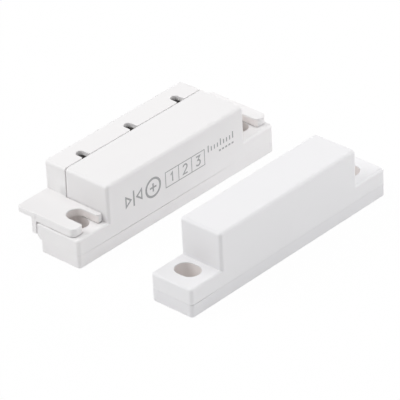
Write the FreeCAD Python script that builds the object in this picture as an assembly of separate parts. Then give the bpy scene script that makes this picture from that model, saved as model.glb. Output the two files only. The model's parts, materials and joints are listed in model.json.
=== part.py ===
"""Surface magnetic door contact: a reed switch unit with a slide-on terminal cover, and its magnet unit.

Each unit is described from its own near end (x), front face (y) and mounting face (z), in millimetres.
The front of the switch unit faces the magnet unit, and the terminals lie behind it.
"""
import FreeCAD
import Part

import math
import os

V = FreeCAD.Vector

# Outer form shared by both units
unit_length = 64.0
unit_height = 16.4
ear_length = 9.7
ear_height = 7.15
base_height = 3.3
magnet_width = 11.7
switch_base_width = 11.8
switch_width = 12.5
corner_radius = 0.85
top_radius = 0.8
ear_top_radius = 0.6
base_bottom_bevel = 0.3

# Moulded walls and the joint between a housing and its base plate
wall = 1.3
top_wall = 1.2
ear_top_wall = 1.5
base_floor = 1.5
seam_gap = 0.12
lip_height = 0.9
lip_width = 0.8
lip_clearance = 0.1

# Oblong fixing slot across each ear, and its place in from the ear's end and front face
slot_width = 4.9
slot_length = 6.3
slot_inset = 5.8
slot_centre = 6.2
slot_boss_wall = 1.0

# How the pair stands: the space between facing sides, and the magnet unit's shift along the length
pair_gap = 20.4
magnet_shift = 1.0

# Terminals
terminal_count = 3
terminal_pitch = 15.4
head_gap = 0.2
shelf_room = 0.6
shelf_bottom = 4.0
shelf_top = 7.0
partition_height = 3.4
partition_width = 1.2
plate_thickness = 0.8
plate_width = 5.4
plate_collar_height = 0.7
plate_collar_wall = 0.65
tail_width = 2.2
tail_reach = 1.6
tail_clearance = 0.05
washer_size = 4.0
washer_thickness = 0.7
washer_bevel = 0.23
screw_radius = 1.2
screw_length = 4.4
screw_point = 0.36
screw_head_radius = 2.05
screw_head_height = 1.8
screw_head_bevel = 0.36
driver_slot_width = 0.65
driver_slot_depth = 0.95
driver_slot_angle = 35.0
screw_clearance = 0.05
turning_gap = 0.02

# Terminal cover
cover_gap = 0.2
cover_room = 1.1
cover_wall = 1.15
cover_top_wall = 1.1
cover_bottom = 4.0
cover_rear_radius = 0.85
notch_width = 2.1
notch_depth = 2.9
notch_mouth_radius = 0.5
wire_entry_width = 3.4
wire_entry_top = 10.4
wing_thickness = 1.95
wing_end_inset = 0.2
wing_tip = 1.6
wing_tip_radius = 1.3
wing_inner_tip_radius = 0.6
wing_rear_inset = 0.1
wing_rear_thickness = 1.3
wing_rear_radius = 0.9
wing_rear_step = 0.45
wing_slot_width = 4.6
wing_slot_centre = 5.8
wing_gap = 0.2
skirt_gap = 0.55
skirt_thickness = 1.3
skirt_inset = 0.25
end_clearance = 0.12

# Reed switch, its leads and the compound round them
reed_y = 5.6
glass_length = 15.0
glass_radius = 1.4
glass_wall = 0.3
glass_shoulder = 0.6
seal_length = 2.2
lead_radius = 0.3
lead_clearance = 0.02
lead_out = 6.0
contact_offset = 0.55
blade_thickness = 0.2
blade_width = 1.0
blade_overlap = 2.0
blade_shoulder = 0.6
blade_gap = 0.05
blade_end_gap = 1.2
jumper_width = 0.6
jumper_thickness = 0.4
jumper_clearance = 0.05
jumper_bend = 0.8
jumper_lane = 0.8
compound_bottom = 4.6
compound_headroom = 2.6
compound_clearance = 0.05

# Bar magnet and the ribs that hold it
bar_length = 40.0
bar_width = 7.4
bar_height = 7.0
bar_headroom = 2.0
bar_clearance = 0.06
bar_edge = 0.5
rib_thickness = 1.0
rib_count = 3
rib_spacing = 14.0


def outline(corners):
    """Closed wire through (x, y, radius) corners, each rounded by an arc of its own radius."""
    arcs = []
    for index, (x, y, radius) in enumerate(corners):
        here = V(x, y, 0)
        back = (V(*corners[index - 1][:2], 0) - here).normalize()
        ahead = (V(*corners[(index + 1) % len(corners)][:2], 0) - here).normalize()
        half = back.getAngle(ahead) / 2
        reach = radius / math.tan(half)
        middle = here + (back + ahead).normalize() * (radius / math.sin(half) - radius)
        arcs.append((here + back * reach, middle, here + ahead * reach, radius))
    edges = []
    for index, (start, middle, end, radius) in enumerate(arcs):
        previous_end = arcs[index - 1][2]
        if previous_end.distanceToPoint(start) > 1e-6:
            edges.append(Part.LineSegment(previous_end, start).toShape())
        if radius > 0:
            edges.append(Part.Arc(start, middle, end).toShape())
    return Part.Wire(edges)


def ring(points):
    """Closed wire of straight edges through points."""
    pairs = zip(points, points[1:] + points[:1])
    return Part.Wire([Part.LineSegment(start, end).toShape() for start, end in pairs])


def prism(corners, low, high):
    """Upright solid of a rounded outline."""
    solid = Part.Face(outline(corners)).extrude(V(0, 0, high - low))
    solid.translate(V(0, 0, low))
    return solid


def rectangle(x_span, y_span, front_radius=0.0, rear_radius=0.0):
    """Corners of a rectangle whose front and rear corners have their own radii."""
    return [
        (x_span[0], y_span[0], front_radius),
        (x_span[1], y_span[0], front_radius),
        (x_span[1], y_span[1], rear_radius),
        (x_span[0], y_span[1], rear_radius),
    ]


def block(x_span, y_span, z_span):
    """Plain box between three pairs of limits."""
    return prism(rectangle(x_span, y_span), *z_span)


def oblong(centre_x, centre_y, width, length, low, high):
    """Upright solid of an oblong that runs across the unit and has round ends."""
    half = width / 2
    x_span = (centre_x - half, centre_x + half)
    y_span = (centre_y - length / 2, centre_y + length / 2)
    return prism(rectangle(x_span, y_span, half, half), low, high)


def post(centre_x, centre_y, radius, low, high):
    """Upright cylinder."""
    return Part.makeCylinder(radius, high - low, V(centre_x, centre_y, low))


def rod(start_x, end_x, centre_y, centre_z, radius):
    """Cylinder along the length."""
    return Part.makeCylinder(radius, end_x - start_x, V(start_x, centre_y, centre_z), V(1, 0, 0))


def level_edges(solid, height, keep=lambda centre: True):
    """Edges that lie at one height and whose centres pass a test."""
    found = []
    for edge in solid.Edges:
        box = edge.BoundBox
        if box.ZLength < 1e-6 and abs(box.ZMin - height) < 1e-6 and keep(edge.CenterOfMass):
            found.append(edge)
    return found


def ear_centres():
    """Places of the fixing slots along the length."""
    return [slot_inset, unit_length - slot_inset]


def ear_spans(inset):
    """Stretches of both ears along the length, less a wall at each outer end."""
    return [(inset, ear_length), (unit_length - ear_length, unit_length - inset)]


def terminal_places():
    """Places of the terminals along the length."""
    first = unit_length / 2 - terminal_pitch * (terminal_count - 1) / 2
    return [first + terminal_pitch * index for index in range(terminal_count)]


def body_span():
    """Stretch of the raised block between the ears."""
    return (ear_length, unit_length - ear_length)


def ceiling():
    """Height of the underside of a housing's top."""
    return unit_height - top_wall


def terminal_y():
    """Line of the screw axes behind the block: the heads just clear its rear face."""
    return switch_width + head_gap + screw_head_radius


def cover_front():
    """Face of the hood that meets the block."""
    return switch_width + cover_gap


def cover_inside():
    """Inner face of the hood's rear wall, clear of the screw heads."""
    return terminal_y() + screw_head_radius + cover_room


def cover_rear():
    """Outer face of the hood's rear wall."""
    return cover_inside() + cover_wall


def shelf_rear():
    """Rear face of the terminal shelf, inside the hood."""
    return cover_inside() - shelf_room


def skirt_front():
    """Face of the skirt behind the ear."""
    return switch_width + skirt_gap


def collar_radius():
    """Outside of the drawn collar round a terminal screw."""
    return screw_radius + screw_clearance + plate_collar_wall


def stepped_form(width, rear_radius):
    """A low slab with an ear at each end and a raised block in the middle, from the seam up."""
    ears = rectangle((0, unit_length), (0, width), corner_radius, rear_radius)
    slab = prism(ears, base_height, ear_height)
    slab = slab.makeFillet(ear_top_radius, level_edges(slab, ear_height))
    middle = rectangle(body_span(), (0, width), corner_radius, rear_radius)
    raised = prism(middle, base_height, unit_height)
    rounded = level_edges(raised, unit_height, lambda centre: rear_radius > 0 or centre.y < width - 1e-6)
    raised = raised.makeFillet(top_radius, rounded)
    return slab.fuse(raised)


def cored(form, width):
    """Hollow the block and both ears from below, with a wall left round each fixing slot."""
    inner = (wall, width - wall)
    block_inner = (body_span()[0] + wall, body_span()[1] - wall)
    form = form.cut(block(block_inner, inner, (base_height, ceiling())))
    for span, centre in zip(ear_spans(wall), ear_centres()):
        core = block(span, inner, (base_height, ear_height - ear_top_wall))
        boss_width = slot_width + 2 * slot_boss_wall
        boss_length = slot_length + 2 * slot_boss_wall
        core = core.cut(oblong(centre, slot_centre, boss_width, boss_length, base_height, ear_height))
        form = form.cut(core)
    for centre in ear_centres():
        form = form.cut(oblong(centre, slot_centre, slot_width, slot_length, 0, unit_height))
    return form


def base_plate(width):
    """Shallow tray that closes a housing: its rim stops short of the seam, and a lip fits inside."""
    outer = rectangle((0, unit_length), (0, width), corner_radius, corner_radius)
    tray = prism(outer, 0, base_height - seam_gap)
    tray = tray.makeChamfer(base_bottom_bevel, level_edges(tray, 0))
    inside = wall + lip_clearance
    block_inner = (body_span()[0] + inside, body_span()[1] - inside)
    y_inner = (inside, width - inside)
    lip = block(block_inner, y_inner, (base_floor, base_height + lip_height))
    plate = tray.fuse(lip)
    x_well = (block_inner[0] + lip_width, block_inner[1] - lip_width)
    y_well = (y_inner[0] + lip_width, y_inner[1] - lip_width)
    plate = plate.cut(block(x_well, y_well, (base_floor, base_height + lip_height)))
    for centre in ear_centres():
        plate = plate.cut(oblong(centre, slot_centre, slot_width, slot_length, 0, unit_height))
    return plate


def rib_places():
    """Places of the ribs that hold the bar magnet."""
    first = unit_length / 2 - rib_spacing * (rib_count - 1) / 2
    return [first + rib_spacing * index for index in range(rib_count)]


def bar_spans():
    """Limits of the bar magnet along each direction."""
    x_span = ((unit_length - bar_length) / 2, (unit_length + bar_length) / 2)
    y_span = ((magnet_width - bar_width) / 2, (magnet_width + bar_width) / 2)
    top = ceiling() - bar_headroom
    return x_span, y_span, (top - bar_height, top)


def bar_room():
    """Space that the bar magnet needs, with its clearance on every side."""
    return block(*[(low - bar_clearance, high + bar_clearance) for low, high in bar_spans()])


def magnet_housing():
    """Cored block with ribs under its top and along its sides that centre the bar magnet."""
    housing = cored(stepped_form(magnet_width, corner_radius), magnet_width)
    inner = (wall, magnet_width - wall)
    rib_low = max(bar_spans()[2][0], base_height + lip_height + lip_clearance)
    for place in rib_places():
        thick = (place - rib_thickness / 2, place + rib_thickness / 2)
        comb = block(thick, inner, (rib_low, ceiling()))
        housing = housing.fuse(comb.cut(bar_room()))
    return housing


def magnet_base_plate():
    """Base plate with ribs that press the bar magnet up into its housing."""
    plate = base_plate(magnet_width)
    y_inner = (wall + lip_clearance, magnet_width - wall - lip_clearance)
    bar_low = bar_spans()[2][0]
    for place in rib_places():
        thick = (place - rib_thickness / 2, place + rib_thickness / 2)
        low_rib = block(thick, y_inner, (base_floor, bar_low - bar_clearance))
        plate = plate.fuse(low_rib)
    return plate.cut(bar_room())


def bar_magnet():
    """Rectangular bar with ground, slightly broken edges."""
    bar = block(*bar_spans())
    return bar.makeChamfer(bar_edge, bar.Edges)


def plate_spans():
    """Limits of a terminal plate across the unit: the screw pad, and the tail through the wall."""
    pad = (switch_width, shelf_rear() - tail_clearance)
    tail = (switch_width - wall - tail_reach, switch_width)
    return pad, tail


def terminal_shelf():
    """Ledge behind the block that carries the terminal plates, with partitions between them."""
    inset = cover_wall + end_clearance
    x_span = (body_span()[0] + inset, body_span()[1] - inset)
    y_span = (switch_width - wall, shelf_rear())
    shelf = block(x_span, y_span, (shelf_bottom, shelf_top))
    places = terminal_places()
    for left, right in zip(places, places[1:]):
        middle = (left + right) / 2
        thick = (middle - partition_width / 2, middle + partition_width / 2)
        shelf = shelf.fuse(block(thick, y_span, (shelf_top, shelf_top + partition_height)))
    return shelf


def switch_housing():
    """Cored block with the terminal shelf behind it and a chamfer down to the narrower base plate."""
    housing = cored(stepped_form(switch_width, 0.0), switch_width)
    drop = switch_width - switch_base_width
    rear_edge = ring(
        [
            V(0, switch_base_width, base_height),
            V(0, switch_width, base_height),
            V(0, switch_width, base_height + drop),
        ]
    )
    housing = housing.cut(Part.Face(rear_edge).extrude(V(unit_length, 0, 0)))
    housing = housing.fuse(terminal_shelf())
    for place in terminal_places():
        housing = housing.cut(tail_room(place, (switch_width - 2 * wall, switch_width + tail_clearance)))
        bore = collar_radius() + screw_clearance
        housing = housing.cut(post(place, terminal_y(), bore, shelf_bottom, shelf_top))
    return housing


def switch_base_plate():
    """Base plate of the switch unit."""
    return base_plate(switch_base_width)


def tail_room(place, y_span):
    """Slit that a solder tail passes through, with its clearance."""
    half = tail_width / 2 + tail_clearance
    z_span = (shelf_top - tail_clearance, shelf_top + plate_thickness + tail_clearance)
    return block((place - half, place + half), y_span, z_span)


def terminal_plate(place):
    """Brass plate with a drawn screw collar below and a solder tail through the housing wall."""
    pad_y, tail_y = plate_spans()
    half = plate_width / 2
    top = shelf_top + plate_thickness
    plate = block((place - half, place + half), pad_y, (shelf_top, top))
    plate = plate.fuse(block((place - tail_width / 2, place + tail_width / 2), tail_y, (shelf_top, top)))
    collar_bottom = shelf_top - plate_collar_height
    plate = plate.fuse(post(place, terminal_y(), collar_radius(), collar_bottom, top))
    return plate.cut(post(place, terminal_y(), screw_radius + screw_clearance, collar_bottom, top))


def washer_bottom():
    """Height of a clamp washer's underside when its screw is tight."""
    return shelf_top + plate_thickness + turning_gap


def head_bottom():
    """Height of a screw head's underside when it is tight."""
    return washer_bottom() + washer_thickness + turning_gap


def clamp_washer(place):
    """Square washer under the screw head, with a bevel round its upper edge."""
    half = washer_size / 2
    low = washer_bottom()
    high = low + washer_thickness
    y_span = (terminal_y() - half, terminal_y() + half)
    washer = block((place - half, place + half), y_span, (low, high))
    washer = washer.makeChamfer(washer_bevel, level_edges(washer, high))
    return washer.cut(post(place, terminal_y(), screw_radius + screw_clearance, low, high))


def terminal_screw(place):
    """Cheese-head screw with a straight driver slot and a chamfered point."""
    low = head_bottom()
    top = low + screw_head_height
    point = low - screw_length
    profile = ring(
        [
            V(0, 0, point),
            V(screw_radius - screw_point, 0, point),
            V(screw_radius, 0, point + screw_point),
            V(screw_radius, 0, low),
            V(screw_head_radius, 0, low),
            V(screw_head_radius, 0, top - screw_head_bevel),
            V(screw_head_radius - screw_head_bevel, 0, top),
            V(0, 0, top),
        ]
    )
    screw = Part.Face(profile).revolve(V(0, 0, 0), V(0, 0, 1), 360)
    half = driver_slot_width / 2
    across = 2 * screw_head_radius
    slot = block((-half, half), (-across, across), (top - driver_slot_depth, top))
    slot.rotate(V(0, 0, 0), V(0, 0, 1), driver_slot_angle)
    screw = screw.cut(slot)
    screw.translate(V(place, terminal_y(), 0))
    return screw


def wing(mirrored):
    """Flat wing over one ear: a slot open to the front passes round the fixing screw."""
    low = ear_height + wing_gap
    high = low + wing_thickness
    rear = cover_rear() - wing_rear_step
    root = body_span()[0]
    behind = skirt_front()
    inner = root - end_clearance
    front = prism(
        [
            (wing_end_inset, wing_tip, wing_tip_radius),
            (inner, wing_tip, wing_inner_tip_radius),
            (inner, cover_front(), 0.0),
            (root + cover_wall, cover_front(), 0.0),
            (root + cover_wall, behind, 0.0),
            (wing_end_inset, behind, 0.0),
        ],
        low,
        high,
    )
    centre = slot_inset
    half = wing_slot_width / 2
    slot_y = (-wing_slot_width, wing_slot_centre + half)
    front = front.cut(prism(rectangle((centre - half, centre + half), slot_y, 0.0, half), low, high))
    overhang = prism(
        [
            (wing_rear_inset, behind, 0.0),
            (root + cover_wall, behind, 0.0),
            (root + cover_wall, rear, 0.0),
            (wing_rear_inset, rear, wing_rear_radius),
        ],
        high - wing_rear_thickness,
        high,
    )
    skirt_y = (behind, behind + skirt_thickness)
    skirt = block((skirt_inset, root + cover_wall), skirt_y, (cover_bottom, high))
    shape = front.fuse(overhang).fuse(skirt).removeSplitter()
    if mirrored:
        shape = shape.mirror(V(unit_length / 2, 0, 0), V(1, 0, 0))
    return shape


def notch(place):
    """Corners of a screwdriver notch: its end is round, and its mouth flares in two rounded lips."""
    front = cover_front()
    half = notch_width / 2
    flare = half + 2 * notch_mouth_radius
    end = front + notch_depth
    return [
        (place - flare, 0, 0.0),
        (place + flare, 0, 0.0),
        (place + flare, front, 0.0),
        (place + half, front, notch_mouth_radius),
        (place + half, end, half),
        (place - half, end, half),
        (place - half, front, notch_mouth_radius),
        (place - flare, front, 0.0),
    ]


def terminal_cover():
    """Hood over the terminals with screwdriver notches, wire entries and a wing over each ear."""
    front = cover_front()
    rear = cover_rear()
    outer = rectangle(body_span(), (front, rear), 0.0, cover_rear_radius)
    hood = prism(outer, cover_bottom, unit_height)
    rounded = level_edges(hood, unit_height, lambda centre: centre.y > front + 1e-6)
    hood = hood.makeFillet(top_radius, rounded)
    inner_x = (body_span()[0] + cover_wall, body_span()[1] - cover_wall)
    under_top = unit_height - cover_top_wall
    hood = hood.cut(block(inner_x, (0, cover_inside()), (0, under_top)))
    for place in terminal_places():
        hood = hood.cut(prism(notch(place), under_top, unit_height))
        hood = hood.cut(wire_entry(place))
    return hood.fuse(wing(False)).fuse(wing(True)).removeSplitter()


def wire_entry(place):
    """Arched cutter for the wire entry in the rear wall of the hood, open at the bottom."""
    half = wire_entry_width / 2
    spring = wire_entry_top - half
    y_span = (cover_inside() - cover_wall, cover_rear() + cover_wall)
    straight = block((place - half, place + half), y_span, (0, spring))
    start = V(place, y_span[0], spring)
    arch = Part.makeCylinder(half, y_span[1] - y_span[0], start, V(0, 1, 0))
    return straight.fuse(arch)


def reed_z():
    """Height of the reed's axis: its jumpers lie on top of the solder tails."""
    return shelf_top + plate_thickness + jumper_thickness / 2 + jumper_clearance


def glass_span():
    """Stretch of the glass tube along the length."""
    return ((unit_length - glass_length) / 2, (unit_length + glass_length) / 2)


def reed_glass():
    """Sealed glass tube: drawn-in shoulders, a hollow middle and a fused end round each lead."""
    low, high = glass_span()
    outer = rod(low, high, 0, 0, glass_radius)
    outer = outer.makeChamfer(glass_shoulder, [e for e in outer.Edges if e.BoundBox.XLength < 1e-6])
    inner = rod(low + seal_length, high - seal_length, 0, 0, glass_radius - glass_wall)
    tube = outer.cut(inner)
    hole = lead_radius + lead_clearance
    tube = tube.cut(rod(low - 1, low + glass_length / 2, 0, 0, hole))
    for side in (-1, 1):
        tube = tube.cut(rod(high - seal_length - 1, high + 1, side * contact_offset, 0, hole))
    tube.translate(V(0, reed_y, reed_z()))
    return tube


def blade_tip():
    """Where the common blade ends, short of the far seal."""
    return glass_span()[1] - seal_length - blade_end_gap


def reed_common():
    """Lead rolled flat into a springy blade that ends between the two contacts."""
    low = glass_span()[0]
    root = low + seal_length
    lead = rod(low - lead_out, root + blade_shoulder, reed_y, reed_z(), lead_radius)
    blade = block(
        (root, blade_tip()),
        (reed_y - blade_thickness / 2, reed_y + blade_thickness / 2),
        (reed_z() - blade_width / 2, reed_z() + blade_width / 2),
    )
    return lead.fuse(blade)


def reed_contact(side):
    """Fixed contact beside the blade's tip; side 1 is the closed rest contact, -1 the working one."""
    high = glass_span()[1]
    centre = reed_y + side * contact_offset
    seal = high - seal_length
    lead = rod(seal - blade_shoulder, high + lead_out, centre, reed_z(), lead_radius)
    tip_x = blade_tip() - blade_overlap
    near = blade_thickness / 2 + blade_gap
    far = near + blade_thickness
    y_span = (reed_y + side * near, reed_y + side * far)
    z_span = (reed_z() - blade_width / 2, reed_z() + blade_width / 2)
    finger = block((tip_x, seal), (min(y_span), max(y_span)), z_span)
    return lead.fuse(finger)


def strip_outline(points, half):
    """Corners of a flat strip along a level route, as wide as twice its half width, with rounded bends."""
    sides = ([], [])
    for index, here in enumerate(points):
        before = (here - points[index - 1]).normalize() if index > 0 else None
        after = (points[index + 1] - here).normalize() if index < len(points) - 1 else None
        ahead = after or before
        across = V(-ahead.y, ahead.x, 0)
        bend = 0.0
        turn = 0.0
        if before and after:
            turn = before.cross(after).z
            mitre = (V(-before.y, before.x, 0) + across).normalize()
            half_turn = math.acos(mitre.dot(across))
            across = mitre * (1 / math.cos(half_turn))
            bend = jumper_bend
        else:
            here = here + (ahead * half if before else ahead * -half)
        for side, sign in zip(sides, (1, -1)):
            corner = here + across * (half * sign)
            radius = 0.0
            if bend:
                radius = max(bend - half, 0.0) if turn * sign > 0 else bend + half
            side.append((corner.x, corner.y, radius))
    return sides[1] + sides[0][::-1]


def tail_end():
    """Inner end of a terminal plate's solder tail."""
    return plate_spans()[1][0]


def jumper_routes():
    """Points of each jumper, seen from above, from its lead's end to its tail."""
    places = terminal_places()
    low, high = glass_span()
    beyond = lead_out + jumper_width / 2 + jumper_clearance
    start = low - beyond
    finish = high + beyond
    soldered = tail_end() + tail_reach / 2
    behind_glass = reed_y + glass_radius + jumper_lane
    return {
        "common": [
            V(start, reed_y, 0),
            V(places[0], reed_y, 0),
            V(places[0], soldered, 0),
        ],
        "nc": [
            V(finish, reed_y + contact_offset, 0),
            V(finish, behind_glass, 0),
            V(places[1], behind_glass, 0),
            V(places[1], soldered, 0),
        ],
        "no": [
            V(finish, reed_y - contact_offset, 0),
            V(places[2], reed_y - contact_offset, 0),
            V(places[2], soldered, 0),
        ],
    }


def jumper(name, grow=0.0):
    """Tinned flat jumper between a reed lead and a terminal tail, with an optional allowance all round."""
    level = reed_z()
    corners = strip_outline(jumper_routes()[name], jumper_width / 2 + grow)
    return prism(corners, level - jumper_thickness / 2 - grow, level + jumper_thickness / 2 + grow)


def potting_compound():
    """Casting round the reed switch and its wiring, with a hair of room round every piece."""
    x_span = (body_span()[0] + wall + compound_clearance, body_span()[1] - wall - compound_clearance)
    y_span = (wall + compound_clearance, switch_width - wall - compound_clearance)
    cast = block(x_span, y_span, (compound_bottom, ceiling() - compound_headroom))
    low, high = glass_span()
    gap = jumper_clearance
    bore = lead_radius + gap
    cast = cast.cut(rod(low - gap, high + gap, reed_y, reed_z(), glass_radius + gap))
    cast = cast.cut(rod(low - lead_out - gap, low, reed_y, reed_z(), bore))
    for side in (-1, 1):
        lead_y = reed_y + side * contact_offset
        cast = cast.cut(rod(high, high + lead_out + gap, lead_y, reed_z(), bore))
    for name in jumper_routes():
        cast = cast.cut(jumper(name, gap))
    for place in terminal_places():
        cast = cast.cut(tail_room(place, (tail_end() - tail_clearance, switch_width)))
    return cast


def pair_offsets():
    """Move that puts the pair's outline centre at the origin, and the magnet unit's own move."""
    x_low = min(0, magnet_shift)
    x_high = unit_length + max(0, magnet_shift)
    y_low = -pair_gap - magnet_width
    y_high = cover_rear()
    switch_move = V(-(x_low + x_high) / 2, -(y_low + y_high) / 2, 0)
    return switch_move, switch_move + V(magnet_shift, y_low, 0)


def build():
    """Every piece by name, in the frame of the pair."""
    switch_move, magnet_move = pair_offsets()
    names = ["common", "nc", "no"]
    switch_pieces = {
        "switch_housing": switch_housing(),
        "switch_base_plate": switch_base_plate(),
        "terminal_cover": terminal_cover(),
        "reed_glass_tube": reed_glass(),
        "reed_common_blade": reed_common(),
        "reed_nc_contact": reed_contact(1),
        "reed_no_contact": reed_contact(-1),
        "potting_compound": potting_compound(),
    }
    for name, place in zip(names, terminal_places()):
        switch_pieces["terminal_plate_" + name] = terminal_plate(place)
        switch_pieces["clamp_washer_" + name] = clamp_washer(place)
        switch_pieces["terminal_screw_" + name] = terminal_screw(place)
        switch_pieces["jumper_lead_" + name] = jumper(name)
    magnet_pieces = {
        "magnet_housing": magnet_housing(),
        "magnet_base_plate": magnet_base_plate(),
        "bar_magnet": bar_magnet(),
    }
    for pieces, move in ((switch_pieces, switch_move), (magnet_pieces, magnet_move)):
        for piece in pieces.values():
            piece.translate(move)
    return {**switch_pieces, **magnet_pieces}


os.makedirs("parts", exist_ok=True)
for name, piece in build().items():
    piece.exportStep("parts/" + name + ".step")
    print(name, len(piece.Solids), round(piece.Volume, 3), piece.isValid())
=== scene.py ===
"""Looks of a surface magnetic door contact: a switch unit with a slide-on cover, and its magnet unit.

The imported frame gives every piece's place and size. The mouldings, terminals and screw heads are its nodes
with rolled edges, and the screw threads and the print are worked out here on grids. A size whose name ends
in _mm is in millimetres, and every mesh is in metres.
"""
import json
import math

import bmesh
import bpy
import numpy as np
from bpy.props import FloatProperty, FloatVectorProperty, PointerProperty
from mathutils import Matrix, Vector


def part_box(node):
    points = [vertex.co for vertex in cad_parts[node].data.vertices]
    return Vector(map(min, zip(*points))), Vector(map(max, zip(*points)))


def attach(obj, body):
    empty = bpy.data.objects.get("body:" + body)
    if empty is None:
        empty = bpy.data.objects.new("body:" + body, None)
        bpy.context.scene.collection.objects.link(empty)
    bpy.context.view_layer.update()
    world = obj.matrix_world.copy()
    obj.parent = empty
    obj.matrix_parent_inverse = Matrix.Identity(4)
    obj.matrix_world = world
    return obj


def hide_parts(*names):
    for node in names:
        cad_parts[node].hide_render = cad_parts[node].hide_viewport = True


bl_info = {
    "name": "Magnetic Door Contact",
    "version": (1, 0, 0),
    "blender": (4, 5, 0),
    "location": "View3D > Sidebar > Door Contact",
    "description": "Finishes a magnetic door contact around its packed frame",
    "category": "Object",
}

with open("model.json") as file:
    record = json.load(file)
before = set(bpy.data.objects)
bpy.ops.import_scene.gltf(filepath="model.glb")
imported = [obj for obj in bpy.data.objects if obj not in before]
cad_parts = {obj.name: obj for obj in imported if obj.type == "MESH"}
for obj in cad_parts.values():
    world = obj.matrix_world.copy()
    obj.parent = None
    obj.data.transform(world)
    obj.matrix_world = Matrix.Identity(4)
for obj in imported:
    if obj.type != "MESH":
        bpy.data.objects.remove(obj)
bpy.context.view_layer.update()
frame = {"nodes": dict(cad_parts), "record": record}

MM = 0.001
TERMINALS = ("common", "nc", "no")
# Two heights or places that differ by less are taken as one.
SNAP = 0.05 * MM
# Radius that the mouldings' long top edges already have in the frame.
TOP_RADIUS = 0.8 * MM
# Slices that follow the seam's changing gap, along X and along Y.
SEAM_SLICES = (24, 4)
# Where each lamp stands and the side of its square, in metres, by the stage's setting for its power.
LAMPS = {
    "top_light": ((0.0, 0.0, 0.60), 0.5),
    "rear_light": ((-0.30, 0.35, 0.40), 0.35),
    "side_light": ((0.40, -0.10, 0.12), 0.2),
    "front_light": ((0.26, -0.26, 0.16), 0.2),
}
LAMPS_AIM = Vector((0.0, 0.0, 0.01))
# Each metal's material name, roughness and width of its fine lines in millimetres, and what the pattern is
# scaled by along X, Y and Z. An axis scaled by less than one has the lines run along it.
METALS = {
    "brass": ("terminal brass", 0.3, 0.09, (1.0, 0.12, 1.0)),
    "zinc": ("washer zinc", 0.34, 0.12, (1.0, 1.0, 1.0)),
    "steel": ("screw steel", 0.26, 0.08, (1.0, 1.0, 0.3)),
    "alloy": ("reed alloy", 0.32, 0.06, (0.1, 1.0, 1.0)),
    "tin": ("tinned copper", 0.36, 0.3, (1.0, 1.0, 1.0)),
    "magnet": ("magnet alloy", 0.48, 0.15, (0.05, 1.0, 1.0)),
}


def low_corner_mm(node):
    """Lowest corner of a node, in millimetres."""
    return np.array(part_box(node)[0]) / MM


def mount_place(name):
    """Where one of the record's mounts is, in metres."""
    return next(mount["pos_m"] for mount in frame["record"]["mounts"] if mount["name"] == name)


def length(name, description, default_mm):
    """A size that a user may change, given in millimetres and kept in metres."""
    return FloatProperty(
        name=name, description=description, default=default_mm * MM, min=0.0, unit="LENGTH", precision=5
    )


def colour(name, description, default):
    """A colour that a user may change."""
    return FloatVectorProperty(
        name=name, description=description, default=default, size=3, min=0.0, max=1.0, subtype="COLOR"
    )


def share(name, description, default):
    """A number between nothing and all that a user may change."""
    return FloatProperty(name=name, description=description, default=default, min=0.0, max=1.0)


def power(name, light, default):
    """Power of a light that a user may change, in watts."""
    return FloatProperty(name=name, description=f"Power of {light}", default=default, min=0.0, unit="POWER")


class ContactPlastic(bpy.types.PropertyGroup):
    """White mouldings of both units."""

    switch_housing: colour("Switch housing", "Plastic of the switch unit's housing", (0.876, 0.864, 0.867))
    switch_base: colour("Switch base plate", "Plastic of the switch unit's base plate", (0.872, 0.858, 0.863))
    cover: colour("Terminal cover", "Plastic of the slide-on cover", (0.88, 0.868, 0.869))
    magnet_housing: colour("Magnet housing", "Plastic of the magnet unit's housing", (0.869, 0.864, 0.877))
    # Darker than the magnet housing: painted shade on the low base plate next to the floor.
    magnet_base: colour("Magnet base plate", "Plastic of the magnet unit's base plate", (0.84, 0.835, 0.852))
    # Painted warm bounce light: the slot walls get a lighter, warmer colour that stands in for light bounced
    # inside the slots.
    painted_slot_bounce: colour("Slot walls", "Warmer tone on the walls of the screw slots", (0.945, 0.902, 0.886))
    roughness: share("Roughness", "How matt the moulded surface is", 0.46)
    grain: length("Grain", "Width of the fine texture that the mould leaves", 0.16)
    grain_depth: length("Grain depth", "Height of the fine texture", 0.0035)
    edge: length("Edge radius", "Radius of the mouldings' crisp edges", 0.09)
    wing_edge: length("Wing edge radius", "Radius round the top of the cover's wings", 0.24)
    wing_tip: length("Wing tip radius", "Radius of the wings' upright edges beside the slots", 0.9)
    joint_edge: length("Joint edge radius", "Radius of the housing's upright edges beside the cover", 0.36)
    closed_seam: length("Closed seam", "Gap over the base plates where they are pressed home", 0.015)


class ContactMetal(bpy.types.PropertyGroup):
    """Terminals, screws, reed and magnet."""

    brass: colour("Terminal brass", "Plates that carry the terminals", (0.80, 0.66, 0.36))
    steel: colour("Screw steel", "Plated terminal screws", (0.62, 0.62, 0.61))
    zinc: colour("Washer zinc", "Plated clamp washers", (0.64, 0.65, 0.66))
    tin: colour("Tinned copper", "Jumpers inside the switch unit", (0.72, 0.71, 0.69))
    alloy: colour("Reed alloy", "Leads and blades of the reed", (0.60, 0.57, 0.52))
    magnet: colour("Magnet", "Ground faces of the bar magnet", (0.20, 0.20, 0.205))
    thread_pitch: length("Thread pitch", "Rise of the screw thread in one turn", 0.45)
    thread_depth: length("Thread depth", "Depth of the screw thread", 0.27)
    head_height: length("Head height", "Height of a terminal screw's head", 1.8)
    edge: length("Edge radius", "Radius of stamped and turned edges", 0.06)


class ContactPrint(bpy.types.PropertyGroup):
    """Plain grey marks printed on the front of the switch unit."""

    ink: colour("Ink", "Grey of the printed marks", (0.36, 0.36, 0.365))
    thickness: length("Ink thickness", "How far the ink stands on the plastic", 0.012)
    bold: length("Bold stroke", "Width of the strokes of the larger marks", 0.55)
    fine: length("Fine stroke", "Width of frame lines", 0.2)
    digit_height: length("Digit height", "Height of the terminal numbers", 2.3)


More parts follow.
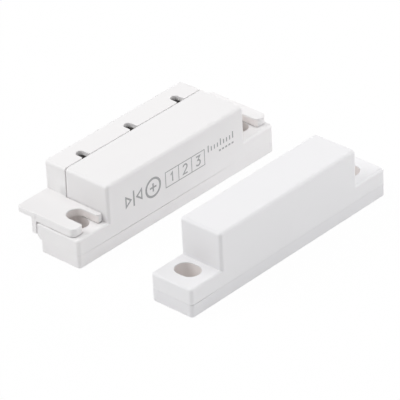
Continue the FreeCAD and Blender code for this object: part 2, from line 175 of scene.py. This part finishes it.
class ContactStage(bpy.types.PropertyGroup):
    """Camera, floor and light."""

    lens: FloatProperty(name="Lens", description="Focal length in millimetres", default=315.9, min=1.0)
    heading: FloatProperty(
        name="Heading", description="Turn of the view from +Y towards +X", default=math.radians(46.44),
        subtype="ANGLE",
    )
    drop: FloatProperty(
        name="Drop", description="How far the view looks down", default=math.radians(31.58), subtype="ANGLE"
    )
    roll: FloatProperty(
        name="Roll", description="Turn of the camera about its view", default=math.radians(-2.719),
        subtype="ANGLE",
    )
    place: FloatVectorProperty(
        name="Place", description="Where the camera stands", default=(-0.47879, -0.45475, 0.41060),
        size=3, subtype="TRANSLATION",
    )
    sky: share("Sky", "Strength of the light from all round", 0.4)
    top_light: power("Top light", "the soft light straight above", 1.09)
    rear_light: power("Rear light", "the soft light behind the near ends", 1.5)
    side_light: power("Side light", "the low light that skims the front faces from the far end", 0.5)
    front_light: power("Front light", "the faint low light before the far ends", 0.23)
    floor: colour("Floor", "Pale floor as the object sees it", (0.95, 0.95, 0.95))
    floor_glow: share("Floor white", "How much of the floor the camera sees as plain white", 0.97)


class Term:
    """A value on its way through a material's nodes. Its operators add Math nodes."""

    def __init__(self, graph, socket):
        self.graph = graph
        self.socket = socket

    def __add__(self, other):
        return self.graph.math("ADD", self, other)

    def __radd__(self, other):
        return self.graph.math("ADD", other, self)

    def __sub__(self, other):
        return self.graph.math("SUBTRACT", self, other)

    def __rsub__(self, other):
        return self.graph.math("SUBTRACT", other, self)

    def __mul__(self, other):
        return self.graph.math("MULTIPLY", self, other)

    def __rmul__(self, other):
        return self.graph.math("MULTIPLY", other, self)

    def __truediv__(self, other):
        return self.graph.math("DIVIDE", self, other)


class Graph:
    """The nodes of one material or world."""

    def __init__(self, owner):
        owner.use_nodes = True
        self.tree = owner.node_tree

    def node(self, kind, settings=None, sockets=None, output=0):
        """Any node: its settings are set first, then the values or links of its sockets."""
        made = self.tree.nodes.new(kind)
        for name, value in (settings or {}).items():
            setattr(made, name, value)
        for key, value in (sockets or {}).items():
            self.feed(made.inputs[key], value)
        return Term(self, made.outputs[output])

    def feed(self, socket, value):
        """Link a term to a socket, or set a plain value on it."""
        if isinstance(value, Term):
            self.tree.links.new(value.socket, socket)
        else:
            socket.default_value = value

    def math(self, operation, *values):
        """A Math node on terms and numbers."""
        return self.node("ShaderNodeMath", {"operation": operation}, dict(enumerate(values)))

    def place(self):
        """The point on the piece, in metres."""
        return self.node("ShaderNodeTexCoord", output="Object")

    def axes(self):
        """The three coordinates of the point on the piece, in metres."""
        split = self.tree.nodes.new("ShaderNodeSeparateXYZ")
        self.feed(split.inputs[0], self.place())
        return [Term(self, output) for output in split.outputs]

    def step(self, value, width):
        """Nought below nought and one above the width, with a straight rise between."""
        return self.node("ShaderNodeClamp", None, {"Value": value / width})

    def stretched(self, stretch):
        """The point on the piece with each axis scaled, for a pattern that runs one way."""
        sockets = {"Vector": self.place(), "Scale": stretch}
        return self.node("ShaderNodeMapping", {"vector_type": "POINT"}, sockets)

    def noise(self, width_mm, detail=2.0, stretch=None):
        """Noise from 0 to 1 whose lumps are about a given width."""
        where = self.stretched(stretch) if stretch else self.place()
        sockets = {"Vector": where, "Scale": 1 / (width_mm * MM), "Detail": detail}
        return self.node("ShaderNodeTexNoise", None, sockets, "Fac")

    def tint(self, factor, first, second):
        """Colour between two others, each a plain colour or a term."""
        first, second = (tone if isinstance(tone, Term) else (*tone, 1.0) for tone in (first, second))
        settings = {"data_type": "RGBA", "clamp_factor": True}
        return self.node("ShaderNodeMix", settings, {0: factor, 6: first, 7: second}, 2)

    def bump(self, height, depth_mm):
        """Normal tilted by a height map that is a given depth from 0 to 1."""
        sockets = {"Height": height, "Distance": depth_mm * MM, "Strength": 1.0}
        return self.node("ShaderNodeBump", None, sockets)


def surface(name, base, roughness, normal, **fixed):
    """A Principled material. Base, roughness and normal are functions of its graph and may vary over the
    surface; the rest is set on the shader."""
    material = bpy.data.materials.new(name)
    graph = Graph(material)
    shader = graph.tree.nodes["Principled BSDF"]
    graph.feed(shader.inputs["Base Color"], base(graph))
    graph.feed(shader.inputs["Roughness"], roughness(graph))
    graph.feed(shader.inputs["Normal"], normal(graph))
    for key, value in fixed.items():
        shader.inputs[key.replace("_", " ")].default_value = value
    return material


def shade(tone, factor):
    """A colour made lighter or darker."""
    return tuple(channel * factor for channel in tone)


def painted_bounce_mask(graph, unit, top, open_front=False):
    """Mask of the painted warm bounce light: one on the walls of a unit's two screw slots below a height, and
    nought elsewhere. A point counts where its distance from the slot's middle line is under the slot's half
    width and a little more. That distance is the root of across squared plus along squared, and along is
    nought beside the line, whose front end lies far ahead if the slot is open at the front."""
    straight, half_width, margin = 0.7 * MM, 2.45 * MM, 0.3 * MM
    slot = mount_place(f"{unit}_slot_left")
    low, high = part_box(f"{unit}_base_plate")
    middle = (low.x + high.x) / 2
    x, y, z = graph.axes()
    across = graph.math("ABSOLUTE", x - middle) - abs(slot[0] - middle)
    behind = y - slot[1]
    past = behind if open_front else graph.math("ABSOLUTE", behind)
    along = graph.math("MAXIMUM", past - straight, 0.0)
    distance = graph.math("SQRT", across * across + along * along)
    return graph.step(half_width + margin - distance, margin / 2) * graph.step(top - z, margin / 2)


def moulded_plastic(name, tone, settings, slots):
    """Satin white plastic: cloudy tone, painted warm bounce light on the walls of the screw slots, faintly
    uneven gloss, a fine moulded grain and a slow waviness. Slots gives painted_bounce_mask its unit, top and
    open front."""
    grain_mm = settings.grain / MM
    depth_mm = settings.grain_depth / MM
    wave_mm, wave_depth_mm = 7.0, 0.006
    cloud_mm, darkest, lightest = 18.0, 0.985, 1.012
    gloss_mm, gloss_swing = 2.2, 0.1

    def normal(graph):
        grain = graph.noise(grain_mm, detail=3.0) * (depth_mm / wave_depth_mm)
        return graph.bump(grain + graph.noise(wave_mm, detail=1.0), wave_depth_mm)

    def base(graph):
        clouds = graph.tint(graph.noise(cloud_mm, detail=3.0), shade(tone, darkest), shade(tone, lightest))
        # Painted warm bounce light on the walls of the screw slots.
        return graph.tint(painted_bounce_mask(graph, *slots), clouds, settings.painted_slot_bounce)

    return surface(
        name,
        base,
        lambda graph: settings.roughness - gloss_swing / 2 + gloss_swing * graph.noise(gloss_mm, detail=4.0),
        normal,
        Specular_IOR_Level=0.42,
    )


def uneven(name, tones, patches, roughness, swing, gloss, relief, depth_mm, **fixed):
    """A material that varies a little. Its colour lies between two tones, its roughness rises from a least
    value by a swing, and its height reaches a depth. Patches, gloss and relief are the noises that these
    follow, each with its width in millimetres, its detail and its stretch if it has one."""
    return surface(
        name,
        lambda graph: graph.tint(graph.noise(*patches), *tones),
        lambda graph: roughness + swing * graph.noise(*gloss),
        lambda graph: graph.bump(graph.noise(*relief), depth_mm),
        **fixed,
    )


def drawn_metal(metal, settings):
    """Bare or plated metal with fine lines that run one way, and a slightly uneven plating."""
    name, roughness, line_mm, stretch = METALS[metal]
    tone = getattr(settings, metal)
    darkest, lightest, swing = 0.86, 1.06, 0.16
    return uneven(
        name,
        tones=(shade(tone, darkest), shade(tone, lightest)),
        patches=(0.9, 4.0),
        roughness=roughness - swing / 2,
        swing=swing,
        gloss=(line_mm, 3.0, stretch),
        relief=(line_mm, 2.0, stretch),
        depth_mm=0.004,
        Metallic=1.0,
    )


def node_corners(node):
    """Corners of a node's mesh, in metres."""
    source = frame["nodes"][node].data
    corners = np.empty(len(source.vertices) * 3)
    source.vertices.foreach_get("co", corners)
    return corners.reshape(-1, 3)


def weld(node, name):
    """A closed copy of a node: its loose triangles' corners are merged where they agree to a tenth of a
    micrometre or so, and neighbours in one plane become one face. Returns it as an open bmesh."""
    same_place, flat_angle = 1e-7, math.radians(0.4)
    source = frame["nodes"][node].data
    corners = node_corners(node)
    loops = np.empty(len(source.loops), np.int64)
    source.loops.foreach_get("vertex_index", loops)
    rounded = np.round(corners / same_place)
    _, first, inverse = np.unique(rounded, axis=0, return_index=True, return_inverse=True)
    triangles = inverse.ravel()[loops].reshape(-1, 3)
    whole = (triangles != np.roll(triangles, 1, axis=1)).all(axis=1)
    mesh = bpy.data.meshes.new(name)
    mesh.from_pydata(corners[first].tolist(), [], triangles[whole].tolist())
    made = bmesh.new()
    made.from_mesh(mesh)
    bpy.data.meshes.remove(mesh)
    bmesh.ops.dissolve_limit(made, angle_limit=flat_angle, verts=made.verts, edges=made.edges)
    return made


def piece_from(mesh, name, body, material, nodes=()):
    """An object that rides on a body, takes a slot's finish and stands for nodes."""
    piece = bpy.data.objects.new(name, mesh)
    bpy.context.scene.collection.objects.link(piece)
    mesh.materials.append(material)
    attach(piece, body)
    if nodes:
        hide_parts(*nodes)
    return piece


def softened(node, name, material, radius, radius_at=None, trim=None):
    """A piece made of a node's welded copy with rolled edges. Its sharp outward edges get a bevel of one
    radius, or of the radius that radius_at gives for an edge's two ends; its inward ones stay sharp. Trim may
    first cut the open bmesh."""
    record = frame["record"]
    slot = next(part["material_slot"] for part in record["subparts"] if part["node"] == node)
    body = next(body for body, nodes in record["behaviour"]["bodies"].items() if node in nodes)
    made = weld(node, name)
    if trim:
        trim(made)
    weight = made.edges.layers.float.new("bevel_weight_edge")
    sharp = math.radians(28)
    radii = {}
    for edge in made.edges:
        if len(edge.link_faces) != 2:
            continue
        turn = edge.calc_face_angle_signed(0.0)
        edge.smooth = turn > -sharp
        if turn > sharp:
            ends = [vert.co for vert in edge.verts]
            radii[edge] = radius_at(*ends) if radius_at else radius
    widest = max(radii.values(), default=radius)
    for edge, value in radii.items():
        edge[weight] = value / widest
    for face in made.faces:
        face.smooth = True
    mesh = bpy.data.meshes.new(name)
    made.to_mesh(mesh)
    made.free()
    piece = piece_from(mesh, name, body, material, [node])
    bevel = piece.modifiers.new("rolled edges", "BEVEL")
    bevel.limit_method = "WEIGHT"
    bevel.width = widest
    bevel.segments = 2
    bevel.use_clamp_overlap = False
    bevel.miter_outer = "MITER_SHARP"
    flatten = piece.modifiers.new("flat faces stay flat", "WEIGHTED_NORMAL")
    flatten.mode = "FACE_AREA"
    flatten.weight = 100
    flatten.keep_sharp = True
    return piece


def switch_opening(along, across):
    """How open the switch unit's seam is, at a share of its length: half a sine wave, raised to a power, that
    starts closed at the near end and is closed again from four fifths on."""
    closed_from, steepness = 0.8, 1.3
    return max(0.0, math.sin(math.pi * min(along / closed_from, 1.0))) ** steepness


def magnet_opening(along, across):
    """How open the magnet unit's seam is: a hair all round, and a bell curve round the near front corner."""
    hair, swell = 0.08, 0.75
    middle, spread_along, spread_across = 0.04, 0.07, 0.1
    return hair + swell * math.exp(-(((along - middle) / spread_along) ** 2) - (across / spread_across) ** 2)


def pressed_seam(unit, opening, settings):
    """How a housing and its base plate meet. Returns a step that divides the walls beside the seam and lifts
    the plate's rim to leave the gap times opening, and a function that gives the seam's edges a radius to
    match."""
    low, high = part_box(f"{unit}_base_plate")
    size = high - low
    corners = node_corners(f"{unit}_base_plate")
    rim = corners[corners[:, 0] < low.x + SNAP, 2].max()
    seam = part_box(f"{unit}_housing")[0].z
    gap = seam - rim
    in_seam, at_rim = 1.2 * gap, 0.2 * gap
    least_share = 0.15
    closed = settings.closed_seam

    def open_at(point):
        return opening((point.x - low.x) / size.x, (point.y - low.y) / size.y)

    def in_outer_wall(face):
        """Whether a face lies wholly in one of the four outer walls."""
        for axis in (0, 1):
            for side in (low, high):
                if all(abs(vert.co[axis] - side[axis]) < SNAP for vert in face.verts):
                    return True
        return False

    def beside_seam(face):
        """Whether a face lies level in the seam or is an outer wall that ends there."""
        near = [abs(vert.co.z - seam) < in_seam for vert in face.verts]
        return all(near) or (any(near) and in_outer_wall(face))

    def divide(made):
        """Cut the faces beside the seam into slices, and lift the points at the height of the rim."""
        for axis, count in enumerate(SEAM_SLICES):
            normal = Vector((axis == 0, axis == 1, 0))
            for step in range(1, count):
                faces = [face for face in made.faces if beside_seam(face)]
                rims = {edge for face in faces for edge in face.edges}
                corners = {vert for face in faces for vert in face.verts}
                place = low + normal * (size[axis] * step / count)
                bmesh.ops.bisect_plane(
                    made, geom=[*faces, *rims, *corners], dist=1e-7, plane_co=place, plane_no=normal
                )
        for vert in made.verts:
            if abs(vert.co.z - rim) < at_rim:
                vert.co.z = seam - closed - (gap - closed) * open_at(vert.co)

    def radius_at(start, end):
        """Crisp where the seam is closed."""
        if max(abs(start.z - seam), abs(end.z - seam)) < in_seam:
            return settings.edge * max(least_share, open_at((start + end) / 2))
        return settings.edge

    return divide, radius_at


def grid_mesh(name, points):
    """A closed mesh on a grid of points, rows by columns. The columns close round on themselves, and each end
    is a fan from the middle of the first or last row."""
    rows, columns = points.shape[:2]
    left = np.arange(rows * columns).reshape(rows, columns)
    right = np.roll(left, -1, axis=1)
    low, high = left.size, left.size + 1
    middles = np.stack([points[0].mean(axis=0), points[-1].mean(axis=0)])
    corners = np.concatenate([points.reshape(-1, 3), middles])
    faces = np.stack([left[:-1], right[:-1], right[1:], left[1:]], axis=-1).reshape(-1, 4).tolist()
    faces += np.stack([right[0], left[0], np.full_like(left[0], low)], axis=-1).tolist()
    faces += np.stack([left[-1], right[-1], np.full_like(left[-1], high)], axis=-1).tolist()
    mesh = bpy.data.meshes.new(name)
    mesh.from_pydata(corners.tolist(), [], faces)
    mesh.shade_smooth()
    return mesh


def thread_points(centre, low, high, radius, pitch, depth):
    """Grid of a threaded shank. The radius at turn t and height z is the root radius plus the thread's depth
    times a flat-topped triangle wave of z / pitch - t, which fades out just under the head; near the point it
    is held inside a 45 degree cone with a blunt end."""
    around, steps = 40, 12
    wave_height, runout, under_root, blunt = 1.3, 0.6, 0.1, 0.3
    turns = np.linspace(0, 1, around, endpoint=False)
    rows = int((high - low) / pitch * steps) + 1
    heights = np.linspace(low, high, rows)[:, None]
    phase = (heights / pitch - turns[None, :]) % 1.0
    ridge = np.clip(wave_height - 2 * wave_height * np.abs(phase - 0.5), 0, 1)
    fade = np.clip((high - heights) / pitch - runout, 0, 1)
    profile = radius - depth * (1 - ridge) * fade
    cone = radius - depth - under_root * pitch + (heights - low)
    profile = np.minimum(profile, np.maximum(cone, blunt * radius))
    angles = 2 * math.pi * turns[None, :]
    x = centre[0] + profile * np.cos(angles)
    y = centre[1] + profile * np.sin(angles)
    return np.stack([x, y, np.broadcast_to(heights, x.shape)], axis=-1)


def arc(centre_x, centre_z, radius, start, end, count=13):
    """Points of an arc; angles in degrees, from +X towards +Z."""
    angles = np.radians(np.linspace(start, end, count))
    return np.stack([centre_x + radius * np.cos(angles), centre_z + radius * np.sin(angles)], axis=-1)


def stroke_points(path, width, face_y, thickness):
    """Grid of a printed stroke: a flat rectangle carried along a path on the front face. At each point it is
    offset along the mitre of the two directions that meet there, by the stroke's width at most. A path that
    ends where it starts is a ring."""
    least_cosine = 0.5
    path = np.asarray(path, float)
    closed = np.allclose(path[0], path[-1])
    steps = np.diff(path, axis=0)
    steps /= np.linalg.norm(steps, axis=1)[:, None]
    before = np.vstack([steps[-1] if closed else steps[0], steps])
    after = np.vstack([steps, steps[0] if closed else steps[-1]])
    mean = before + after
    mean /= np.linalg.norm(mean, axis=1)[:, None]
    across = np.stack([-mean[:, 1], mean[:, 0]], axis=-1)
    reach = width / 2 / np.clip((mean * after).sum(axis=1), least_cosine, 1)[:, None]
    sides = [path + across * reach, path - across * reach]
    outer = np.full(len(path), face_y - thickness)
    inner = np.full(len(path), face_y + thickness)
    loop = [(sides[0], outer), (sides[0], inner), (sides[1], inner), (sides[1], outer)]
    return np.stack([np.stack([side[:, 0], y, side[:, 1]], axis=-1) for side, y in loop], axis=1)


# Strokes of each digit, as shares of its height.
DIGITS = {
    "1": [[(0.12, 0.74), (0.36, 1.0), (0.36, 0.0)]],
    "2": [[*arc(0.3, 0.72, 0.28, 165, -35), (0.02, 0.0), (0.62, 0.0)]],
    "3": [[(0.04, 1.0), (0.56, 1.0), (0.27, 0.6), *arc(0.29, 0.3, 0.3, 80, -150)]],
}


def print_strokes(settings):
    """Paths and widths of the print, in millimetres from the near end and the mounting face: an alignment
    mark of a bar and two arrows, a ring with a cross, a frame with the three terminal numbers, a short scale
    of ticks and a row of dashes."""
    bold = settings.bold / MM
    fine = settings.fine / MM
    tall = settings.digit_height / MM
    medium, digit, tick = 0.8 * bold, 0.7 * bold, 0.62 * bold
    strokes = []

    bar_x, bar_z, bar_reach = 17.85, 9.7, 1.95
    arrow_tip, arrow_back, arrow_reach = 0.95, 2.5, 1.2
    strokes.append(([(bar_x, bar_z - bar_reach), (bar_x, bar_z + bar_reach)], medium))
    for side in (-1, 1):
        tip = (bar_x + side * arrow_tip, bar_z)
        upper, lower = ((bar_x + side * arrow_back, bar_z + reach) for reach in (arrow_reach, -arrow_reach))
        strokes.append(([upper, tip, lower, upper], medium))

    ring_x, ring_z, ring_radius, cross_reach = 24.05, 9.5, 2.25, 1.05
    strokes.append((arc(ring_x, ring_z, ring_radius, 0, 360, 49), bold))
    strokes.append(([(ring_x - cross_reach, ring_z), (ring_x + cross_reach, ring_z)], medium))
    for side in (-1, 1):
        arm = [(ring_x, ring_z + side * medium / 2), (ring_x, ring_z + side * cross_reach)]
        strokes.append((arm, medium))

    left, right, bottom, top = 28.1, 40.9, 7.4, 11.3
    strokes.append(([(left, bottom), (right, bottom), (right, top), (left, top), (left, bottom)], fine))
    cell = (right - left) / len(DIGITS)
    half_digit = 0.31 * tall
    for index, paths in enumerate(DIGITS.values()):
        start = left + cell * index
        if index:
            strokes.append(([(start, bottom + fine / 2), (start, top - fine / 2)], fine))
        corner = np.array([start + cell / 2 - half_digit, (bottom + top) / 2 - tall / 2])
        strokes += [(corner + np.array(path) * tall, digit) for path in paths]

    scale_x, scale_z, scale_pitch, ticks = 42.2, 9.95, 1.02, 9
    long_tick, short_tick, long_every = 1.7, 1.1, 4
    for index in range(ticks):
        x = scale_x + scale_pitch * index
        reach = short_tick if index % long_every else long_tick
        strokes.append(([(x, scale_z), (x, scale_z + reach)], tick))

    dash_x, dash_z, dash_pitch, half_dash, dashes = 46.0, 8.75, 1.06, 0.32, 5
    for index in range(dashes):
        x = dash_x + dash_pitch * index
        strokes.append(([(x - half_dash, dash_z), (x + half_dash, dash_z)], medium))
    return strokes


class CONTACT_OT_mould_cases(bpy.types.Operator):
    """Make the white mouldings: both housings, both base plates and the terminal cover."""

    bl_idname = "contact.mould_cases"
    bl_label = "Mould cases"

    def execute(self, context):
        settings = context.scene.contact_plastic
        ear_top = mount_place("switch_slot_left")[2]
        corners = node_corners("terminal_cover")
        near_end = corners[corners[:, 0] < corners[:, 0].min() + MM]
        wing_top = near_end[:, 2].max()
        hood = corners[corners[:, 2] > wing_top + MM]
        left, right, top = hood[:, 0].min(), hood[:, 0].max(), hood[:, 2].max()
        front = corners[:, 1].min()

        def cover_radius(start, end):
            """Softer along the tops of the wings than on the hood, and round at the tips by the slots."""
            beside = max(start.x, end.x) < left + SNAP or min(start.x, end.x) > right - SNAP
            on_top = abs(start.z - wing_top) < SNAP and abs(end.z - wing_top) < SNAP
            if beside and on_top:
                return settings.wing_edge
            at_tip = max(abs(start.y - front), abs(end.y - front)) < SNAP and abs(start.x - end.x) < SNAP
            return settings.wing_tip if beside and at_tip else settings.edge

        # Painted warm bounce light in the switch unit's slots, up to just under the tops of the cover's
        # wings.
        slots = ("switch", wing_top - settings.wing_edge, True)
        cover = moulded_plastic("cover white", settings.cover, settings, slots)
        softened("terminal_cover", "terminal_cover_moulding", cover, settings.edge, cover_radius)

        widens_over = 0.4 * TOP_RADIUS
        switch_back = node_corners("switch_housing")
        switch_back = switch_back[switch_back[:, 2] > top - TOP_RADIUS, 1].max()
        for unit, opening in (("switch", switch_opening), ("magnet", magnet_opening)):
            divide, seam_radius = pressed_seam(unit, opening, settings)
            # Painted warm bounce light in each unit's slots, up to just under the ear tops.
            slots = (unit, ear_top - settings.edge)
            housing_tone = getattr(settings, f"{unit}_housing")
            base_tone = getattr(settings, f"{unit}_base")
            housing = moulded_plastic(f"{unit} housing white", housing_tone, settings, slots)
            base = moulded_plastic(f"{unit} base white", base_tone, settings, slots)

            def housing_radius(start, end, usual=seam_radius):
                """The joint with the cover widens from the top down each end; the seam has its own radii."""
                middle = (start + end) / 2
                inset = min(middle.x - left, right - middle.x)
                behind = max(abs(start.y - switch_back), abs(end.y - switch_back)) < SNAP
                if not behind or middle.z < wing_top or inset > TOP_RADIUS + SNAP:
                    return usual(start, end)
                drop = min(1.0, (top - middle.z) / widens_over)
                return settings.edge + (settings.joint_edge - settings.edge) * drop

            for node, name, material, radius_at in (
                (f"{unit}_housing", f"{unit}_housing_moulding", housing, housing_radius),
                (f"{unit}_base_plate", f"{unit}_base_moulding", base, seam_radius),
            ):
                softened(node, name, material, settings.edge, radius_at, trim=divide)
        return {"FINISHED"}


class CONTACT_OT_plate_terminals(bpy.types.Operator):
    """Make the brass terminal plates and the clamp washers."""

    bl_idname = "contact.plate_terminals"
    bl_label = "Plate terminals"

    def execute(self, context):
        settings = context.scene.contact_metal
        brass = drawn_metal("brass", settings)
        zinc = drawn_metal("zinc", settings)
        for name in TERMINALS:
            softened(f"terminal_plate_{name}", f"terminal_strip_{name}", brass, settings.edge)
            softened(f"clamp_washer_{name}", f"clamp_plate_{name}", zinc, settings.edge)
        return {"FINISHED"}


class CONTACT_OT_cut_screws(bpy.types.Operator):
    """Make the terminal screws: slotted heads on threaded shanks."""

    bl_idname = "contact.cut_screws"
    bl_label = "Cut screws"

    def execute(self, context):
        settings = context.scene.contact_metal
        steel = drawn_metal("steel", settings)
        shank_radius, into_head, slack = 1.2 * MM, 0.05 * MM, 0.01 * MM
        for name in TERMINALS:
            node = f"terminal_screw_{name}"
            low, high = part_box(node)
            under_head = high.z - settings.head_height

            def keep_head(made, limit=under_head - slack):
                """Cut the plain shank off and close the head underneath."""
                shank = [vert for vert in made.verts if vert.co.z < limit]
                bmesh.ops.delete(made, geom=shank, context="VERTS")
                bmesh.ops.holes_fill(made, edges=[edge for edge in made.edges if edge.is_boundary], sides=0)

            softened(node, f"screw_head_{name}", steel, settings.edge, trim=keep_head)
            centre = ((low.x + high.x) / 2, (low.y + high.y) / 2)
            pitch, depth = settings.thread_pitch, settings.thread_depth
            points = thread_points(centre, low.z, under_head + into_head, shank_radius, pitch, depth)
            thread = f"screw_thread_{name}"
            piece_from(grid_mesh(thread, points), thread, f"screw_{name}", steel, [node])
        return {"FINISHED"}


class CONTACT_OT_seal_reed(bpy.types.Operator):
    """Finish the reed switch, its jumpers and the compound round them."""

    bl_idname = "contact.seal_reed"
    bl_label = "Seal reed"

    def execute(self, context):
        settings = context.scene.contact_metal
        alloy = drawn_metal("alloy", settings)
        tin = drawn_metal("tin", settings)
        glass = uneven(
            "reed glass",
            tones=((0.74, 0.86, 0.77), (0.80, 0.90, 0.82)),
            patches=(4.0, 1.0),
            roughness=0.03,
            swing=0.04,
            gloss=(1.5, 2.0),
            relief=(2.5, 1.0),
            depth_mm=0.01,
            Transmission_Weight=0.9,
            IOR=1.48,
        )
        compound = uneven(
            "potting compound",
            tones=((0.020, 0.019, 0.018), (0.034, 0.032, 0.030)),
            patches=(1.6, 4.0),
            roughness=0.28,
            swing=0.25,
            gloss=(3.0, 3.0),
            relief=(3.5, 3.0),
            depth_mm=0.05,
        )
        for node, material in (
            ("reed_glass_tube", glass),
            ("reed_common_blade", alloy),
            ("reed_nc_contact", alloy),
            ("reed_no_contact", alloy),
            ("potting_compound", compound),
        ):
            set_material(node, material)
        for name in TERMINALS:
            set_material(f"jumper_lead_{name}", tin)
        return {"FINISHED"}


class CONTACT_OT_grind_magnet(bpy.types.Operator):
    """Finish the bar magnet: ground faces with fine lines along the bar."""

    bl_idname = "contact.grind_magnet"
    bl_label = "Grind magnet"

    def execute(self, context):
        set_material("bar_magnet", drawn_metal("magnet", context.scene.contact_metal))
        return {"FINISHED"}


class CONTACT_OT_print_marks(bpy.types.Operator):
    """Print the plain marks on the front face of the switch unit."""

    bl_idname = "contact.print_marks"
    bl_label = "Print marks"

    def execute(self, context):
        settings = context.scene.contact_print
        darkest, lightest = 0.9, 1.25
        ink = uneven(
            "grey ink",
            tones=(shade(settings.ink, darkest), shade(settings.ink, lightest)),
            patches=(0.35, 3.0),
            roughness=0.5,
            swing=0.12,
            gloss=(0.4, 2.0),
            relief=(0.16, 2.0),
            depth_mm=0.004,
        )
        near_end, _, foot = low_corner_mm("switch_base_plate")
        front = low_corner_mm("switch_housing")[1]
        thickness = settings.thickness / MM
        offset = np.array([near_end, 0.0, foot])
        for index, (path, width) in enumerate(print_strokes(settings)):
            points = (stroke_points(path, width, front, thickness) + offset) * MM
            name = f"print_mark_{index:02d}"
            mesh = grid_mesh(name, points)
            mesh.shade_flat()
            piece_from(mesh, name, "housings", ink)
        return {"FINISHED"}


class CONTACT_OT_set_stage(bpy.types.Operator):
    """Set the floor, the light and the camera at the photograph's angle."""

    bl_idname = "contact.set_stage"
    bl_label = "Set stage"

    def execute(self, context):
        settings = context.scene.contact_stage
        set_camera(context.scene, settings)
        set_world(context.scene, settings)
        set_floor(settings)
        for name, (place, width) in LAMPS.items():
            set_light(name.replace("_", " "), place, width, getattr(settings, name))
        context.scene.view_settings.view_transform = "Standard"
        return {"FINISHED"}


def set_material(node, material):
    """Give a node its material."""
    slots = frame["nodes"][node].material_slots
    if not slots:
        frame["nodes"][node].data.materials.append(material)
    for slot in slots:
        slot.material = material


def set_camera(scene, settings):
    """A long lens that looks down on the near corner, turned by the heading, the drop and the roll."""
    camera = bpy.data.objects.new("camera", bpy.data.cameras.new("camera"))
    scene.collection.objects.link(camera)
    camera.data.lens = settings.lens
    camera.data.clip_start = 0.01
    camera.data.clip_end = 10.0
    level = Vector((math.sin(settings.heading), math.cos(settings.heading), 0.0))
    ahead = level * math.cos(settings.drop) - Vector((0, 0, 1)) * math.sin(settings.drop)
    right = ahead.cross(Vector((0, 0, 1))).normalized()
    axes = Matrix((right, right.cross(ahead), -ahead)).transposed()
    axes = axes @ Matrix.Rotation(settings.roll, 3, "Z")
    camera.matrix_world = Matrix.Translation(settings.place) @ axes.to_4x4()
    scene.camera = camera


def seen_directly(graph):
    """One where a ray comes from the camera, a reflection or through glass, and nought elsewhere."""
    path = graph.tree.nodes.new("ShaderNodeLightPath")
    names = ("Is Camera Ray", "Is Glossy Ray", "Is Transmission Ray")
    camera, glossy, through = (Term(graph, path.outputs[name]) for name in names)
    return graph.node("ShaderNodeClamp", None, {"Value": camera + glossy + through})


def set_world(scene, settings):
    """Even light from all round, seen as plain white."""
    world = bpy.data.worlds.new("studio")
    scene.world = world
    graph = Graph(world)
    strength = settings.sky + seen_directly(graph) * (1.0 - settings.sky)
    graph.feed(graph.tree.nodes["Background"].inputs["Strength"], strength)
    graph.feed(graph.tree.nodes["Background"].inputs["Color"], (1.0, 1.0, 1.0, 1.0))


def set_floor(settings):
    """A wide pale floor a hair under the mounting faces, seen as nearly plain white with a faint shadow."""
    half, level = 2.0, -0.02 * MM
    mesh = bpy.data.meshes.new("floor")
    corners = [(-half, -half, level), (half, -half, level), (half, half, level), (-half, half, level)]
    mesh.from_pydata(corners, [], [(0, 1, 2, 3)])
    floor = bpy.data.objects.new("floor", mesh)
    bpy.context.scene.collection.objects.link(floor)
    material = bpy.data.materials.new("floor")
    graph = Graph(material)
    nodes = graph.tree.nodes
    paint = nodes["Principled BSDF"]
    paint.inputs["Base Color"].default_value = (*settings.floor, 1.0)
    paint.inputs["Roughness"].default_value = 0.9
    paint.inputs["Specular IOR Level"].default_value = 0.1
    glow = graph.node("ShaderNodeEmission", None, {"Color": (1.0, 1.0, 1.0, 1.0), "Strength": 1.0})
    factor = seen_directly(graph) * settings.floor_glow
    mixed = graph.node("ShaderNodeMixShader", None, {0: factor, 1: Term(graph, paint.outputs[0]), 2: glow})
    graph.feed(nodes["Material Output"].inputs["Surface"], mixed)
    mesh.materials.append(material)


def set_light(name, place, width, power):
    """A square soft light that faces the middle of the object."""
    light = bpy.data.objects.new(name, bpy.data.lights.new(name, "AREA"))
    bpy.context.scene.collection.objects.link(light)
    light.data.shape = "SQUARE"
    light.data.size = width
    light.data.energy = power
    towards = LAMPS_AIM - Vector(place)
    light.matrix_world = Matrix.Translation(place) @ towards.to_track_quat("-Z", "Y").to_matrix().to_4x4()


class CONTACT_PT_panel(bpy.types.Panel):
    """Lists the steps and their settings in the sidebar."""

    bl_label = "Door Contact"
    bl_idname = "CONTACT_PT_panel"
    bl_space_type = "VIEW_3D"
    bl_region_type = "UI"
    bl_category = "Door Contact"

    def draw(self, context):
        for group in GROUPS:
            box = self.layout.box()
            box.label(text=group)
            settings = getattr(context.scene, group)
            for name in settings.bl_rna.properties.keys():
                if name not in ("rna_type", "name"):
                    box.prop(settings, name)
        for step in STEPS:
            self.layout.operator(step.bl_idname)


GROUPS = {
    "contact_plastic": ContactPlastic,
    "contact_metal": ContactMetal,
    "contact_print": ContactPrint,
    "contact_stage": ContactStage,
}
STEPS = (
    CONTACT_OT_mould_cases,
    CONTACT_OT_plate_terminals,
    CONTACT_OT_cut_screws,
    CONTACT_OT_seal_reed,
    CONTACT_OT_grind_magnet,
    CONTACT_OT_print_marks,
    CONTACT_OT_set_stage,
)


def register():
    """Add the settings, the steps and the panel."""
    for group, kind in GROUPS.items():
        bpy.utils.register_class(kind)
        setattr(bpy.types.Scene, group, PointerProperty(type=kind))
    for kind in (*STEPS, CONTACT_PT_panel):
        bpy.utils.register_class(kind)


def unregister():
    """Take the panel, the steps and the settings away again."""
    for kind in reversed((*STEPS, CONTACT_PT_panel)):
        bpy.utils.unregister_class(kind)
    for group, kind in GROUPS.items():
        delattr(bpy.types.Scene, group)
        bpy.utils.unregister_class(kind)


def main():
    register()
    bpy.ops.contact.set_stage()
    bpy.ops.contact.mould_cases()
    bpy.ops.contact.plate_terminals()
    bpy.ops.contact.cut_screws()
    bpy.ops.contact.seal_reed()
    bpy.ops.contact.grind_magnet()
    bpy.ops.contact.print_marks()


if __name__ == "__main__":
    main()
